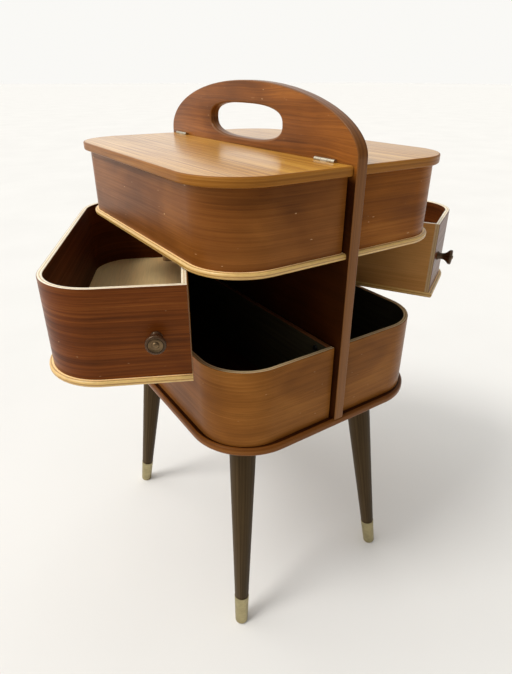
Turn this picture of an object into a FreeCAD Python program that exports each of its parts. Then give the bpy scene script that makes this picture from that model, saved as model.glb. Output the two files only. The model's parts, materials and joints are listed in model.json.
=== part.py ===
import FreeCAD
import Part
import math
import os

# Sewing box on four splayed legs.  A centre board with an arched top is the carrying
# handle.  Each side of it holds a lidded top box, a drawer that swings out on an upright
# rod, and an open bin.  Frame: X across the board, Y along it with the knobs at -Y,
# Z up from the floor under the middle of the board.  Millimetres.

V = FreeCAD.Vector
X_AXIS = V(1, 0, 0)
Y_AXIS = V(0, 1, 0)
Z_AXIS = V(0, 0, 1)
ORIGIN = V(0, 0, 0)
SIDES = {"left": -1, "right": 1}

# ---- driving dimensions ----------------------------------------------------------------
LEG_HEIGHT = 297.0            # floor to the underside of the base plate
BOX_LENGTH = 367.0            # outside length of every box wall, along Y
BOX_REACH = 149.0             # middle of the board to the outside of the top box wall
BOX_CORNER_RADIUS = 57.0      # outside radius of the two outer corners of a wall
PLY = 5.5                     # thickness of the bent walls and the back walls
FLOOR_PLY = 6.6               # thickness of the boards under the top boxes and drawers
FLOOR_OVERHANG = 4.5          # how far those boards stand out past the walls

BOARD_THICKNESS = 12.5
BOARD_END_MARGIN = 9.5        # how far the board stands out past each end of a box wall
BOARD_SHOULDER_UP = 5.5       # lid top up to where the arch starts
ARCH_RISE = 64.0
BOARD_EDGE_ROUND = 1.2

HAND_HOLE_LENGTH = 153.0
HAND_HOLE_HEIGHT = 37.6
HAND_HOLE_FULLNESS = 2.7      # 2 is a plain ellipse, more is squarer at the ends
HAND_HOLE_POINTS = 48         # points that its outline passes through
HAND_HOLE_DROP = 42.5         # top of the arch down to the middle of the hole
HAND_HOLE_OFFSET = 2.0        # middle of the board to the middle of the hole, along Y
HAND_HOLE_ROUND = 2.5

BASE_THICKNESS = 10.0
BASE_MARGIN = 4.5             # how far the plate reaches out past the top box wall
BASE_CORNER_RADIUS = 73.0
BASE_EDGE_ROUND = 3.5

BIN_INSET = 3.0               # top box wall in to the outside of the bin wall
BIN_END_MARGIN = 1.5          # how far a bin reaches past each end of a top box wall
BIN_WALL_HEIGHT = 93.0
DRAWER_HEIGHT = 98.4          # floor board and walls together
DRAWER_MARGIN = 1.0           # how far a closed drawer reaches out past the top box wall
DRAWER_CLEARANCE = 1.0        # gap above and below a drawer
TOP_WALL_HEIGHT = 74.0
BOX_GAP = 2.4                 # board face to the back wall of a fixed box
DRAWER_GAP = 3.0              # board face to the back wall of a closed drawer

LID_THICKNESS = 9.4
LID_SIDE_OVERHANG = 8.0
LID_END_OVERHANG = 5.0
LID_EDGE_GAP = 1.2            # board face to the inner edge of a lid
LID_REST_GAP = 0.4            # wall rim to the underside of a lid
LID_EDGE_ROUND = 1.6

PIVOT_ROD_DIAMETER = 6.0
PIVOT_INSET_X = 24.5          # outside of a drawer's back wall to the rod
PIVOT_INSET_Y = 12.0          # outside of the drawer's far end to the rod
RUNNING_CLEARANCE = 0.05      # radial, between the rod and what turns on it
STATIC_CLEARANCE = 0.10       # radial, between a fastener and its fixed hole
PIVOT_SLEEVE_DIAMETER = 10.0
PIVOT_WASHER_DIAMETER = 14.0
PIVOT_WASHER_PLAY = 0.05
PIVOT_ROD_SEAT = 2.0          # underside of the base plate up to the foot of the rod
PIVOT_ROD_END = 2.0           # how far the rod stands out of its nut's hexagon
PIVOT_BLOCK_MARGIN = 14.0     # rod to the two free faces of the corner block
PIVOT_BLOCK_ROUND = 6.0
PIVOT_CORNER_ROUND = 10.0     # on the drawer's floor, so that it clears the centre board
PIVOT_WALL_ROUND = 3.0        # the same on the end of the drawer's wall
PIVOT_NUT_ACROSS_FLATS = 10.0
PIVOT_NUT_HEIGHT = 5.0
PIVOT_DOME_HEIGHT = 4.5
DRAWER_OPEN_DEGREES = {"left": 26.0, "right": 30.0}

KNOB_INSET = 31.4             # outside of the drawer's back wall to the knob's axis
KNOB_LENGTH = 18.5
KNOB_STEM_RADIUS = 4.6
KNOB_WAIST_RADIUS = 4.0
KNOB_HEAD_RADIUS = 9.6
KNOB_FOOT_RADIUS = 5.6
KNOB_CAP_RADIUS = 7.0
KNOB_CAP_SEAT = 2.2
KNOB_SCREW_RADIUS = 1.9
KNOB_SCREW_HEAD_RADIUS = 4.0
KNOB_SCREW_HEAD_HEIGHT = 2.2
KNOB_SCREW_DEPTH = 14.0
KNOB_DISH_DEPTH = 0.7         # the cap's face is dished this much round its nub
KNOB_NUB_RADIUS = 3.4
KNOB_DOME_HEIGHT = 1.5        # how far the nub stands out of the knob's head

HINGE_NEAR_INSET = 38.5       # near end of a lid to the middle of its near hinge
HINGE_FAR_INSET = 29.0
HINGE_LENGTH = 30.0
HINGE_LEAF = 0.9
HINGE_LEAF_DROP = 9.0         # hinge axis down to the lower edge of a leaf
HINGE_KNUCKLE_RADIUS = 2.2
HINGE_PIN_RADIUS = 1.1
HINGE_AXIS_UP = 1.0           # lid top up to the hinge axis
HINGE_BOARD_CLEARANCE = 0.1   # knuckle to the board face
HINGE_KNUCKLE_GAP = 0.3
HINGE_NOTCH_CLEARANCE = 0.4
HINGE_SCREW_AT = 10.0         # from the middle of a hinge to each of its screws
HINGE_SCREW_RADIUS = 1.0
HINGE_SCREW_HEAD_RADIUS = 1.9
HINGE_SCREW_LENGTH = 5.0

SPACER_LENGTH = 26.0
SPACER_HEIGHT = 12.0
SPACER_INSET = 25.0           # outside end of a box to the middle of a spacer
BOX_SCREW_RADIUS = 1.75
BOX_SCREW_HEAD_RADIUS = 3.6
BOX_SCREW_HEAD_HEIGHT = 2.0
BOX_SCREW_BITE = 5.0          # how far a screw goes into the board
TOP_SPACER_DROP = 22.0        # rim of a box down to the middle of its spacers
BIN_SPACER_DROP = 9.0
BOARD_SCREW_INSET = 73.0      # end of the board to the outer screws
BOARD_SCREW_RADIUS = 2.0
BOARD_SCREW_HEAD_RADIUS = 4.0
BOARD_SCREW_HEAD_HEIGHT = 3.0
BOARD_SCREW_LENGTH = 38.0

LEG_INSET_X = 62.0            # edge of the base plate to the middle of a leg's top
LEG_INSET_Y = 66.0            # end of the base plate to the middle of a leg's top
LEG_SPLAY_X = 30.0            # how much further out a foot stands than its leg top
LEG_SPLAY_Y = 38.5
LEG_TOP_RADIUS = 17.5
LEG_FERRULE_RADIUS = 9.2      # leg radius where the ferrule starts
FERRULE_HEIGHT = 42.0
FERRULE_FOOT_RADIUS = 8.4
FERRULE_WALL = 0.8
FERRULE_LIP = 0.5             # how far the ferrule stands out past the leg
FERRULE_END_ROUND = 3.5
LEG_PLATE_SIDE = 46.0
LEG_PLATE_THICKNESS = 2.5
LEG_PLATE_ROUND = 6.0
LEG_PLATE_SCREW_AT = 17.0     # screw hole from the middle of a leg plate, in X and Y
LEG_SCREW_RADIUS = 1.75
LEG_SCREW_HEAD_RADIUS = 3.3
LEG_SCREW_HEAD_HEIGHT = 1.8
LEG_SCREW_LENGTH = 7.5
LEG_BOLT_RADIUS = 4.0
LEG_BOLT_IN_LEG = 32.0
LEG_BOLT_IN_PLATE = 6.0

# ---- heights and planes that follow from them --------------------------------------------
base_top = LEG_HEIGHT + BASE_THICKNESS
bin_rim = base_top + BIN_WALL_HEIGHT
drawer_bottom = bin_rim + DRAWER_CLEARANCE
drawer_rim = drawer_bottom + DRAWER_HEIGHT
top_floor_bottom = drawer_rim + DRAWER_CLEARANCE
top_floor_top = top_floor_bottom + FLOOR_PLY
top_rim = top_floor_top + TOP_WALL_HEIGHT
lid_bottom = top_rim + LID_REST_GAP
lid_top = lid_bottom + LID_THICKNESS
board_shoulder = lid_top + BOARD_SHOULDER_UP
board_top = board_shoulder + ARCH_RISE
board_face = BOARD_THICKNESS / 2
fixed_back = board_face + BOX_GAP
drawer_back = board_face + DRAWER_GAP
pivot_x = drawer_back + PIVOT_INSET_X
pivot_y = BOX_LENGTH / 2 - PIVOT_INSET_Y
hinge_x = board_face + HINGE_BOARD_CLEARANCE + HINGE_KNUCKLE_RADIUS
hinge_z = lid_top + HINGE_AXIS_UP
lid_leaf_outer = hinge_x + HINGE_KNUCKLE_RADIUS
board_length = BOX_LENGTH + 2 * BOARD_END_MARGIN
board_screw_y = board_length / 2 - BOARD_SCREW_INSET
base_reach = BOX_REACH + BASE_MARGIN
bin_reach = BOX_REACH - BIN_INSET
bin_length = BOX_LENGTH + 2 * BIN_END_MARGIN
drawer_reach = BOX_REACH + DRAWER_MARGIN
lid_end = BOX_LENGTH / 2 + LID_END_OVERHANG
leg_top_x = base_reach - LEG_INSET_X
leg_top_y = board_length / 2 - LEG_INSET_Y
leg_slope = V(LEG_SPLAY_X, LEG_SPLAY_Y, -LEG_HEIGHT)
leg_length = leg_slope.Length

shapes = {}


def on_side(shape, side):
    """A shape modelled at +X, or its mirror image for the left side."""
    if side > 0:
        return shape
    return shape.mirror(ORIGIN, X_AXIS)


def cylinder(radius, height, base, direction=Z_AXIS):
    return Part.makeCylinder(radius, height, base, direction)


def block(low, high):
    start = V(*low)
    size = V(*high) - start
    return Part.makeBox(size.x, size.y, size.z, start)


def arc(start, middle, end):
    return Part.Arc(start, middle, end).toShape()


def line(start, end):
    return Part.LineSegment(start, end).toShape()


def corner_point(centre, radius, degrees):
    turn = math.radians(degrees)
    return centre + V(radius * math.cos(turn), radius * math.sin(turn), 0)


def d_slab(inner, outer, length, radius, bottom, height):
    """A slab that is straight at x = inner and has two rounded corners at x = outer."""
    half = length / 2
    far_centre = V(outer - radius, half - radius, bottom)
    near_centre = V(outer - radius, radius - half, bottom)
    far_in = V(inner, half, bottom)
    near_in = V(inner, -half, bottom)
    edges = [line(near_in, corner_point(near_centre, radius, -90)),
             arc(*[corner_point(near_centre, radius, a) for a in (-90, -45, 0)]),
             line(corner_point(near_centre, radius, 0), corner_point(far_centre, radius, 0)),
             arc(*[corner_point(far_centre, radius, a) for a in (0, 45, 90)]),
             line(corner_point(far_centre, radius, 90), far_in),
             line(far_in, near_in)]
    return Part.Face(Part.Wire(edges)).extrude(V(0, 0, height))


def rim_edges(solid, inner, levels):
    """The edges of a slab's outline at the given heights, leaving out its inner edge."""
    found = []
    for edge in solid.Edges:
        box = edge.BoundBox
        flat_at = [z for z in levels if abs(box.ZMin - z) < 1e-4 and abs(box.ZMax - z) < 1e-4]
        if flat_at and box.XMax > inner + 1e-4:
            found.append(edge)
    return found


def u_wall(inner, outer, length, radius, bottom, height):
    """A bent plywood wall, open along the board."""
    solid = d_slab(inner, outer, length, radius, bottom, height)
    hollow = d_slab(inner - 1, outer - PLY, length - 2 * PLY, radius - PLY, bottom - 1, height + 2)
    return solid.cut(hollow)


def back_wall(inner, length, bottom, height):
    """The flat wall next to the board, between the two ends of the bent wall."""
    half = length / 2 - PLY
    return block((inner, -half, bottom), (inner + PLY, half, bottom + height))


def floor_board(inner, reach, bottom):
    """A thin board with a rounded edge that a box stands on."""
    outer = reach + FLOOR_OVERHANG
    length = BOX_LENGTH + 2 * FLOOR_OVERHANG
    radius = BOX_CORNER_RADIUS + FLOOR_OVERHANG
    slab = d_slab(inner, outer, length, radius, bottom, FLOOR_PLY)
    edges = rim_edges(slab, inner, (bottom, bottom + FLOOR_PLY))
    return slab.makeFillet(FLOOR_PLY * 0.4, edges)


# ---- the stand ---------------------------------------------------------------------------
def upright_face(wire_edges):
    """A face drawn with Y as its first direction and Z as its second, in the plane X = 0."""
    face = Part.Face(Part.Wire(wire_edges))
    face.rotate(ORIGIN, V(1, 1, 1), 120)
    return face


def board_outline():
    half = board_length / 2
    ellipse = Part.Ellipse(V(0, board_shoulder, 0), half, ARCH_RISE)
    arch = Part.ArcOfEllipse(ellipse, 0, math.pi).toShape()
    return upright_face([arch,
                         line(V(-half, board_shoulder, 0), V(-half, base_top, 0)),
                         line(V(-half, base_top, 0), V(half, base_top, 0)),
                         line(V(half, base_top, 0), V(half, board_shoulder, 0))])


def hand_hole_outline():
    """A smooth oval, a little fuller at its ends than an ellipse."""
    middle = board_top - HAND_HOLE_DROP
    power = 2 / HAND_HOLE_FULLNESS
    points = []
    for i in range(HAND_HOLE_POINTS):
        turn = 2 * math.pi * i / HAND_HOLE_POINTS
        along = math.copysign(abs(math.cos(turn)) ** power, math.cos(turn))
        up = math.copysign(abs(math.sin(turn)) ** power, math.sin(turn))
        points.append(V(HAND_HOLE_OFFSET + along * HAND_HOLE_LENGTH / 2,
                        middle + up * HAND_HOLE_HEIGHT / 2, 0))
    curve = Part.BSplineCurve()
    curve.interpolate(points, PeriodicFlag=True)
    return upright_face([curve.toShape()])


def face_edges(solid, lowest, highest):
    """The edges on the two faces of the board between two heights."""
    found = []
    for edge in solid.Edges:
        box = edge.BoundBox
        on_face = box.XMax - box.XMin < 1e-4 and abs(abs(box.XMin) - board_face) < 1e-4
        if on_face and box.ZMin > lowest and box.ZMax < highest:
            found.append(edge)
    return found


def make_centre_board():
    solid = board_outline().extrude(V(BOARD_THICKNESS, 0, 0))
    solid.translate(V(-board_face, 0, 0))
    hole = hand_hole_outline().extrude(V(BOARD_THICKNESS + 2, 0, 0))
    hole.translate(V(-board_face - 1, 0, 0))
    solid = solid.cut(hole)
    hole_low = board_top - HAND_HOLE_DROP - HAND_HOLE_HEIGHT / 2 - 1
    hole_high = hole_low + HAND_HOLE_HEIGHT + 2
    solid = solid.makeFillet(HAND_HOLE_ROUND, face_edges(solid, hole_low, hole_high))
    arch_edges = face_edges(solid, board_shoulder - 1e-3, board_top + 1)
    outline = [e for e in arch_edges if e.BoundBox.YLength > board_length * 0.9]
    solid = solid.makeFillet(BOARD_EDGE_ROUND, outline)
    return solid


def spacer_places(length, z):
    """The middles of the two spacers behind one box, on the board's face."""
    reach = length / 2 - SPACER_INSET
    return [V(board_face, y, z) for y in (-reach, reach)]


def box_screw(place, clearance):
    """A round-head screw through a back wall and a spacer into the board, or its clearance."""
    start = V(fixed_back + PLY, place.y, place.z)
    length = PLY + BOX_GAP + BOX_SCREW_BITE + clearance
    shank = cylinder(BOX_SCREW_RADIUS + clearance, length, start, V(-1, 0, 0))
    if clearance > 0:
        return shank
    head = cylinder(BOX_SCREW_HEAD_RADIUS, BOX_SCREW_HEAD_HEIGHT, start, X_AXIS)
    crown = start.x + BOX_SCREW_HEAD_HEIGHT - 1e-3
    crown_edges = [e for e in head.Edges if e.BoundBox.XMin > crown]
    head = head.makeFillet(BOX_SCREW_HEAD_HEIGHT * 0.6, crown_edges[:1])
    return shank.fuse(head).removeSplitter()


def spacer(place):
    """A thin strip that holds a back wall off the board."""
    half = V(0, SPACER_LENGTH / 2, SPACER_HEIGHT / 2)
    strip = block(place - half, place + half + V(BOX_GAP, 0, 0))
    return strip.cut(box_screw(place, STATIC_CLEARANCE))


def board_screw(y, clearance):
    """A countersunk screw from under the base plate up into the board, or its clearance."""
    start = V(0, y, LEG_HEIGHT)
    head = Part.makeCone(BOARD_SCREW_HEAD_RADIUS + clearance, BOARD_SCREW_RADIUS + clearance,
                         BOARD_SCREW_HEAD_HEIGHT, start)
    shank = cylinder(BOARD_SCREW_RADIUS + clearance, BOARD_SCREW_LENGTH + clearance, start)
    return head.fuse(shank).removeSplitter()


def make_base_plate():
    """One plate across both sides, with four large rounded corners and a rounded edge."""
    half = d_slab(0, base_reach, board_length, BASE_CORNER_RADIUS, LEG_HEIGHT, BASE_THICKNESS)
    plate = half.fuse(on_side(half, -1)).removeSplitter()
    edges = rim_edges(plate, -base_reach - 1, (LEG_HEIGHT, base_top))
    return plate.makeFillet(BASE_EDGE_ROUND, edges)


# ---- legs --------------------------------------------------------------------------------
def leg_places():
    for end, y_sign in (("front", -1), ("back", 1)):
        for side, x_sign in SIDES.items():
            yield end + "_" + side, x_sign, y_sign


def place_leg(shape, x_sign, y_sign):
    """Turn a shape made for the leg at +X +Y to another corner by mirroring it."""
    placed = on_side(shape, x_sign)
    if y_sign < 0:
        placed = placed.mirror(ORIGIN, Y_AXIS)
    return placed


leg_top = V(leg_top_x, leg_top_y, LEG_HEIGHT)
leg_direction = V(leg_slope.x, leg_slope.y, leg_slope.z).normalize()
ferrule_start = leg_length * (1 - FERRULE_HEIGHT / LEG_HEIGHT)


def leg_cone(start, length, start_radius, end_radius):
    """A cone along the leg's axis, start and length measured from the plate's underside."""
    return Part.makeCone(start_radius, end_radius, length, leg_top + leg_direction * start,
                         leg_direction)


def leg_radius_at(distance):
    share = distance / ferrule_start
    return LEG_TOP_RADIUS + (LEG_FERRULE_RADIUS - LEG_TOP_RADIUS) * share


def spigot_radii():
    start = LEG_FERRULE_RADIUS + FERRULE_LIP - FERRULE_WALL - STATIC_CLEARANCE
    end = FERRULE_FOOT_RADIUS - FERRULE_WALL - STATIC_CLEARANCE
    return start, end


def below(height):
    """Everything under a height, to cut a slanted leg off level."""
    wide = 4 * base_reach
    return block((-wide, -wide, height - LEG_HEIGHT), (wide, wide, height))


def make_leg():
    extra = LEG_TOP_RADIUS
    body = leg_cone(-extra, ferrule_start + extra, leg_radius_at(-extra), LEG_FERRULE_RADIUS)
    start_radius, end_radius = spigot_radii()
    spigot_length = leg_length - ferrule_start - 4 * FERRULE_WALL
    tip = start_radius + (end_radius - start_radius) * spigot_length / (leg_length - ferrule_start)
    spigot = leg_cone(ferrule_start, spigot_length, start_radius, tip)
    solid = body.fuse(spigot).removeSplitter()
    solid = solid.common(below(LEG_HEIGHT - LEG_PLATE_THICKNESS))
    bolt_hole = cylinder(LEG_BOLT_RADIUS + STATIC_CLEARANCE, LEG_BOLT_IN_LEG + STATIC_CLEARANCE,
                         leg_top, leg_direction)
    return solid.cut(bolt_hole)


def make_ferrule():
    """A metal cup on the leg's tip, cut level where it stands on the floor."""
    extra = FERRULE_FOOT_RADIUS * 0.25
    length = leg_length - ferrule_start + extra
    outer = leg_cone(ferrule_start, length, LEG_FERRULE_RADIUS + FERRULE_LIP, FERRULE_FOOT_RADIUS)
    tip = leg_top + leg_direction * (ferrule_start + length)
    tip_edges = [e for e in outer.Edges if e.Length > 1 and (e.BoundBox.Center - tip).Length < 0.5]
    outer = outer.makeFillet(FERRULE_END_ROUND, tip_edges)
    start_radius, end_radius = spigot_radii()
    depth = leg_length - ferrule_start - 3 * FERRULE_WALL
    bore = leg_cone(ferrule_start - 1, depth + 1, start_radius + STATIC_CLEARANCE,
                    end_radius + STATIC_CLEARANCE)
    level = block((0, 0, 0), (4 * base_reach, 4 * base_reach, LEG_HEIGHT))
    return outer.cut(bore).common(level)


def leg_plate_screw_places():
    for x_sign in (-1, 1):
        for y_sign in (-1, 1):
            yield V(leg_top_x + x_sign * LEG_PLATE_SCREW_AT, leg_top_y + y_sign * LEG_PLATE_SCREW_AT,
                    LEG_HEIGHT - LEG_PLATE_THICKNESS)


def make_leg_plate():
    half = LEG_PLATE_SIDE / 2
    low = LEG_HEIGHT - LEG_PLATE_THICKNESS
    plate = block((leg_top_x - half, leg_top_y - half, low),
                  (leg_top_x + half, leg_top_y + half, LEG_HEIGHT))
    uprights = [e for e in plate.Edges if e.BoundBox.ZLength > LEG_PLATE_THICKNESS - 1e-3]
    plate = plate.makeFillet(LEG_PLATE_ROUND, uprights)
    for place in leg_plate_screw_places():
        hole = cylinder(LEG_SCREW_RADIUS + STATIC_CLEARANCE, 2 * LEG_PLATE_THICKNESS,
                        place - Z_AXIS)
        plate = plate.cut(hole)
    return plate.cut(leg_bolt(STATIC_CLEARANCE))


def leg_bolt(clearance):
    start = leg_top - leg_direction * (LEG_BOLT_IN_PLATE + clearance)
    length = LEG_BOLT_IN_PLATE + LEG_BOLT_IN_LEG + 2 * clearance
    return cylinder(LEG_BOLT_RADIUS + clearance, length, start, leg_direction)


def leg_plate_screw(place, clearance):
    shank = cylinder(LEG_SCREW_RADIUS + clearance,
                     LEG_PLATE_THICKNESS + LEG_SCREW_LENGTH + clearance, place)
    if clearance > 0:
        return shank
    head = cylinder(LEG_SCREW_HEAD_RADIUS, LEG_SCREW_HEAD_HEIGHT,
                    place - Z_AXIS * LEG_SCREW_HEAD_HEIGHT)
    lowest = place.z - LEG_SCREW_HEAD_HEIGHT
    rim = [e for e in head.Edges if e.BoundBox.ZMax < lowest + 1e-3]
    head = head.makeFillet(LEG_SCREW_HEAD_HEIGHT * 0.6, rim[:1])
    return shank.fuse(head).removeSplitter()


# ---- fixed boxes ---------------------------------------------------------------------------
def make_bin_wall():
    radius = BOX_CORNER_RADIUS + (bin_length - BOX_LENGTH) / 2
    return u_wall(fixed_back, bin_reach, bin_length, radius, base_top, BIN_WALL_HEIGHT)


def make_top_wall():
    return u_wall(fixed_back, BOX_REACH, BOX_LENGTH, BOX_CORNER_RADIUS, top_floor_top,
                  TOP_WALL_HEIGHT)


def make_top_floor():
    floor = floor_board(board_face, BOX_REACH, top_floor_bottom)
    return floor.cut(pivot_hole(STATIC_CLEARANCE, top_floor_bottom - 1, FLOOR_PLY + 2))


def make_fixed_back(length, bottom, height, spacer_drop):
    """A back wall with the holes of the two screws that hold its box to the board."""
    wall = back_wall(fixed_back, length, bottom, height)
    for place in spacer_places(length, bottom + height - spacer_drop):
        wall = wall.cut(box_screw(place, STATIC_CLEARANCE))
    return wall


def pivot_hole(clearance, bottom, height):
    """The space that a drawer's rod needs between two heights."""
    radius = PIVOT_ROD_DIAMETER / 2 + clearance
    return cylinder(radius, height, V(pivot_x, pivot_y, bottom))



# ---- what a drawer turns on ----------------------------------------------------------------
def make_pivot_rod():
    """An upright rod from inside the base plate to just inside the top box."""
    bottom = LEG_HEIGHT + PIVOT_ROD_SEAT
    top = top_floor_top + PIVOT_NUT_HEIGHT + PIVOT_ROD_END
    return pivot_hole(0, bottom, top - bottom)


def make_pivot_sleeve():
    """The tube round the rod that carries the drawer at the height of the bin's rim."""
    tube = cylinder(PIVOT_SLEEVE_DIAMETER / 2, bin_rim - base_top, V(pivot_x, pivot_y, base_top))
    return tube.cut(pivot_hole(STATIC_CLEARANCE, base_top - 1, BIN_WALL_HEIGHT + 2))


def pivot_washer(bottom):
    height = DRAWER_CLEARANCE - PIVOT_WASHER_PLAY
    ring = cylinder(PIVOT_WASHER_DIAMETER / 2, height, V(pivot_x, pivot_y, bottom))
    return ring.cut(pivot_hole(STATIC_CLEARANCE, bottom - 1, height + 2))


def make_pivot_washers():
    return [pivot_washer(bin_rim), pivot_washer(drawer_rim + PIVOT_WASHER_PLAY)]


def make_cap_nut():
    """A hexagon with a round cap, closed over the end of the rod."""
    across_corners = PIVOT_NUT_ACROSS_FLATS / math.cos(math.radians(30))
    foot = V(pivot_x, pivot_y, top_floor_top)
    corners = [corner_point(foot, across_corners / 2, 60 * i) for i in range(7)]
    hexagon = Part.Face(Part.makePolygon(corners)).extrude(V(0, 0, PIVOT_NUT_HEIGHT))
    dome_radius = PIVOT_NUT_ACROSS_FLATS / 2 - 0.5
    dome = cylinder(dome_radius, PIVOT_DOME_HEIGHT, foot + V(0, 0, PIVOT_NUT_HEIGHT))
    crown = dome.BoundBox.ZMax - 1e-3
    dome = dome.makeFillet(PIVOT_DOME_HEIGHT * 0.8, [e for e in dome.Edges if e.BoundBox.ZMin > crown])
    nut = hexagon.fuse(dome).removeSplitter()
    depth = PIVOT_NUT_HEIGHT + PIVOT_ROD_END + STATIC_CLEARANCE
    return nut.cut(pivot_hole(STATIC_CLEARANCE, top_floor_top - 1, depth + 1))


# ---- swinging drawers, modelled closed ---------------------------------------------------
def knob_place():
    z = (drawer_bottom + drawer_rim) / 2
    return V(drawer_back + KNOB_INSET, -BOX_LENGTH / 2, z)


def make_drawer_wall():
    wall = u_wall(drawer_back, drawer_reach, BOX_LENGTH, BOX_CORNER_RADIUS,
                  drawer_bottom + FLOOR_PLY, DRAWER_HEIGHT - FLOOR_PLY)
    far_corner = [e for e in wall.Edges
                  if e.BoundBox.XMax < drawer_back + 1e-3 and e.BoundBox.YMin > BOX_LENGTH / 2 - 1e-3]
    return wall.makeFillet(PIVOT_WALL_ROUND, far_corner).cut(knob_screw_hole())


def make_drawer_floor():
    """The floor board, with its far corner rounded so that it clears the board as it turns."""
    floor = floor_board(drawer_back, drawer_reach, drawer_bottom)
    far = BOX_LENGTH / 2 + FLOOR_OVERHANG
    centre = V(drawer_back + PIVOT_CORNER_ROUND, far - PIVOT_CORNER_ROUND, drawer_bottom - 1)
    corner = block((drawer_back - 1, centre.y, centre.z), (centre.x, far + 1, drawer_rim))
    corner = corner.cut(cylinder(PIVOT_CORNER_ROUND, DRAWER_HEIGHT + 2, centre))
    floor = floor.cut(corner)
    return floor.cut(pivot_hole(RUNNING_CLEARANCE, drawer_bottom - 1, FLOOR_PLY + 2))


def make_pivot_block():
    """The corner block that turns on the rod, as tall as the drawer's walls."""
    inner = drawer_back + PLY
    far = BOX_LENGTH / 2 - PLY
    low = (inner, pivot_y - PIVOT_BLOCK_MARGIN, drawer_bottom + FLOOR_PLY)
    solid = block(low, (pivot_x + PIVOT_BLOCK_MARGIN, far, drawer_rim))
    free_edge = [e for e in solid.Edges
                 if e.BoundBox.XMin > pivot_x and e.BoundBox.YMax < pivot_y
                 and e.BoundBox.ZLength > FLOOR_PLY]
    solid = solid.makeFillet(PIVOT_BLOCK_ROUND, free_edge)
    return solid.cut(pivot_hole(RUNNING_CLEARANCE, drawer_bottom, DRAWER_HEIGHT + 1))


def turned(profile_edges):
    """A solid turned about the knob's axis, from a profile with X as radius, -Y as length."""
    face = Part.Face(Part.Wire(profile_edges))
    solid = face.revolve(ORIGIN, Y_AXIS, 360)
    solid.translate(knob_place())
    return solid


def profile_point(radius, length):
    return V(radius, -length, 0)


def make_knob():
    """A turned knob: a small foot, a waist and a flared head with a recess for its cap."""
    recess = KNOB_LENGTH - KNOB_CAP_SEAT
    recess_radius = KNOB_CAP_RADIUS + STATIC_CLEARANCE
    widest = KNOB_LENGTH * 0.84
    at = profile_point
    solid = turned([
        line(at(0, 0), at(KNOB_FOOT_RADIUS, 0)),
        line(at(KNOB_FOOT_RADIUS, 0), at(KNOB_FOOT_RADIUS, KNOB_LENGTH * 0.07)),
        arc(at(KNOB_FOOT_RADIUS, KNOB_LENGTH * 0.07), at(KNOB_STEM_RADIUS, KNOB_LENGTH * 0.14),
            at(KNOB_WAIST_RADIUS, KNOB_LENGTH * 0.3)),
        arc(at(KNOB_WAIST_RADIUS, KNOB_LENGTH * 0.3), at(KNOB_STEM_RADIUS + 0.9, KNOB_LENGTH * 0.55),
            at(KNOB_HEAD_RADIUS - 1.0, KNOB_LENGTH * 0.76)),
        arc(at(KNOB_HEAD_RADIUS - 1.0, KNOB_LENGTH * 0.76), at(KNOB_HEAD_RADIUS, widest),
            at(KNOB_HEAD_RADIUS - 1.1, KNOB_LENGTH)),
        line(at(KNOB_HEAD_RADIUS - 1.1, KNOB_LENGTH), at(recess_radius, KNOB_LENGTH)),
        line(at(recess_radius, KNOB_LENGTH), at(recess_radius, recess)),
        line(at(recess_radius, recess), at(0, recess)),
        line(at(0, recess), at(0, 0))])
    return solid.cut(knob_screw_hole())


def make_knob_cap():
    """A dished metal disc with a round nub in the middle, set in the knob's head."""
    back = KNOB_LENGTH - KNOB_CAP_SEAT
    dish = KNOB_LENGTH - KNOB_DISH_DEPTH
    front = KNOB_LENGTH + KNOB_DOME_HEIGHT
    nub_height = front - dish
    ball = (KNOB_NUB_RADIUS ** 2 + nub_height ** 2) / (2 * nub_height)
    half_turn = math.asin(min(1.0, KNOB_NUB_RADIUS / ball)) / 2
    at = profile_point
    return turned([
        line(at(0, back), at(KNOB_CAP_RADIUS, back)),
        line(at(KNOB_CAP_RADIUS, back), at(KNOB_CAP_RADIUS, KNOB_LENGTH)),
        line(at(KNOB_CAP_RADIUS, KNOB_LENGTH), at(KNOB_NUB_RADIUS, dish)),
        arc(at(KNOB_NUB_RADIUS, dish),
            at(ball * math.sin(half_turn), front - ball * (1 - math.cos(half_turn))), at(0, front)),
        line(at(0, front), at(0, back))])


def knob_screw_shank(clearance):
    start = knob_place() + V(0, PLY, 0)
    return cylinder(KNOB_SCREW_RADIUS + clearance, PLY + KNOB_SCREW_DEPTH + clearance, start,
                    V(0, -1, 0))


def knob_screw_hole():
    return knob_screw_shank(STATIC_CLEARANCE)


def make_knob_screw():
    inside = knob_place() + V(0, PLY, 0)
    head = cylinder(KNOB_SCREW_HEAD_RADIUS, KNOB_SCREW_HEAD_HEIGHT, inside, Y_AXIS)
    crown = inside.y + KNOB_SCREW_HEAD_HEIGHT - 1e-3
    crown_edges = [e for e in head.Edges if e.BoundBox.YMin > crown]
    head = head.makeFillet(KNOB_SCREW_HEAD_HEIGHT * 0.6, crown_edges[:1])
    return head.fuse(knob_screw_shank(0)).removeSplitter()


# ---- lids and their hinges -------------------------------------------------------------------
def hinge_middles():
    return (HINGE_NEAR_INSET - lid_end, lid_end - HINGE_FAR_INSET)


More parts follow.
